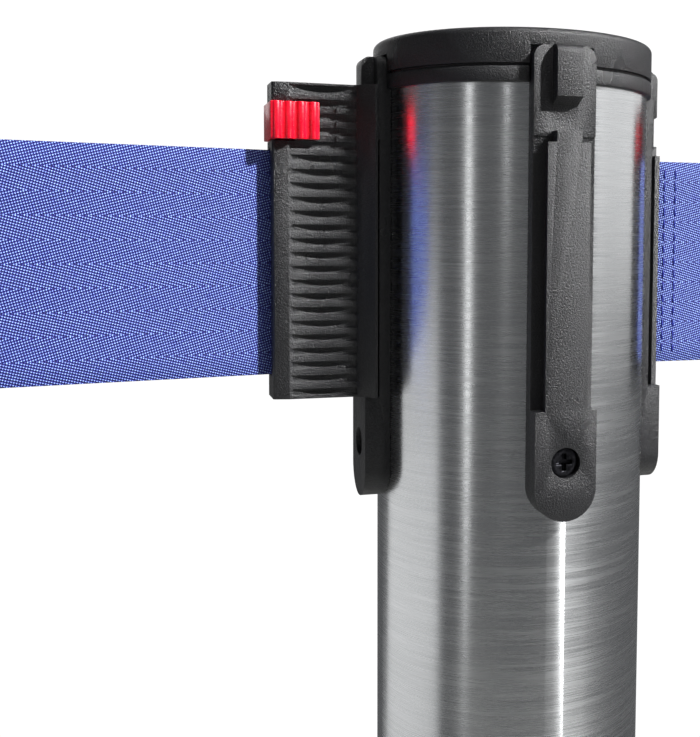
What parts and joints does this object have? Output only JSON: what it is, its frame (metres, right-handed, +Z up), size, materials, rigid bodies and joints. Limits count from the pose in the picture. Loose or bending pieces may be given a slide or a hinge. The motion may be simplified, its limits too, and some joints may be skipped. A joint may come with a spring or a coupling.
{
  "type": "retractable belt stanchion",
  "caption": "Steel crowd-control post on a weighted round base, with a spring-wound belt, an outlet and belt receivers around its head, and a plugged-in belt end.",
  "frame": {"origin": "on the floor at the centre of the base", "axes": "+Z up the post, own belt leaves along +X, a plugged-in belt arrives from -X, receivers face -X, -Y and +Y"},
  "size_m": [0.35, 0.35, 1],
  "materials": {
    "post_steel": "brushed round the tube",
    "cover_steel": "spun and brushed",
    "black_abs": "spark-textured",
    "red_lock": "glossy",
    "blue_webbing": "herringbone weave",
    "foot_rubber": "matt",
    "cast_weight": "as cast, painted",
    "zinc_steel": "bright zinc",
    "black_screw": "black oxide",
    "grey_abs": "moulded",
    "natural_pom": "moulded",
    "sintered_bronze": "sintered",
    "spring_steel": "blued strip"
  },
  "bodies": {
    "root": {"base_ring": "foot_rubber", "base_weight": "cast_weight", "base_cover": "cover_steel", "tie_washer": "zinc_steel", "tie_bolt": "zinc_steel", "tube_plug": "grey_abs", "post_collar": "cover_steel", "post_tube": "post_steel", "head_ring": "black_abs", "cap": "black_abs", "cassette_shell": "grey_abs", "cassette_lid": "grey_abs", "cassette_screws": "zinc_steel", "axle": "zinc_steel", "spring_arbor": "sintered_bronze", "power_spring": "spring_steel", "guide_pins": "zinc_steel", "guide_sleeves": "natural_pom", "receiver_front": "black_abs", "receiver_left": "black_abs", "receiver_back": "black_abs", "belt_outlet": "black_abs", "strip_screws": "black_screw", "belt_run": "blue_webbing"},
    "spool_unit": {"spool": "natural_pom", "lower_bush": "sintered_bronze", "upper_bush": "sintered_bronze", "anchor_pin": "zinc_steel", "belt_roll": "blue_webbing"},
    "belt_end": {"belt_stop": "blue_webbing", "clip_front": "black_abs", "clip_back": "black_abs", "clip_pin": "zinc_steel", "clip_screws": "zinc_steel"},
    "own_lock": {"lock_slider": "red_lock"},
    "guest_end": {"guest_belt": "blue_webbing", "guest_clip_front": "black_abs", "guest_clip_back": "black_abs", "guest_pin": "zinc_steel", "guest_screws": "zinc_steel"},
    "guest_lock_unit": {"guest_lock": "red_lock"}
  },
  "joints": [
    {"name": "belt_pull", "type": "slide", "parent": "root", "child": "belt_end", "axis": [1, 0, 0], "range_m": [0, 2], "stiffness_N_per_m": 1, "springref_m": -5, "deforming": ["belt_run", "belt_roll"]},
    {"name": "spool_spin", "type": "hinge", "parent": "root", "child": "spool_unit", "pos_m": [0, 0, 0.951], "axis": [0, 0, -1], "range_deg": [0, 7560], "deforming": ["power_spring"]},
    {"name": "lock_slide", "type": "slide", "parent": "belt_end", "child": "own_lock", "axis": [1, 0, 0], "range_m": [0, 0.0036]},
    {"name": "guest_lift", "type": "slide", "parent": "root", "child": "guest_end", "axis": [0, 0, 1], "range_m": [0, 0.085]},
    {"name": "guest_lock_slide", "type": "slide", "parent": "guest_end", "child": "guest_lock_unit", "axis": [1, 0, 0], "range_m": [0, 0.0036]}
  ],
  "couplings": [
    {"joint": "spool_spin", "follows": "belt_pull", "rad_per_m": 65.5}
  ]
}
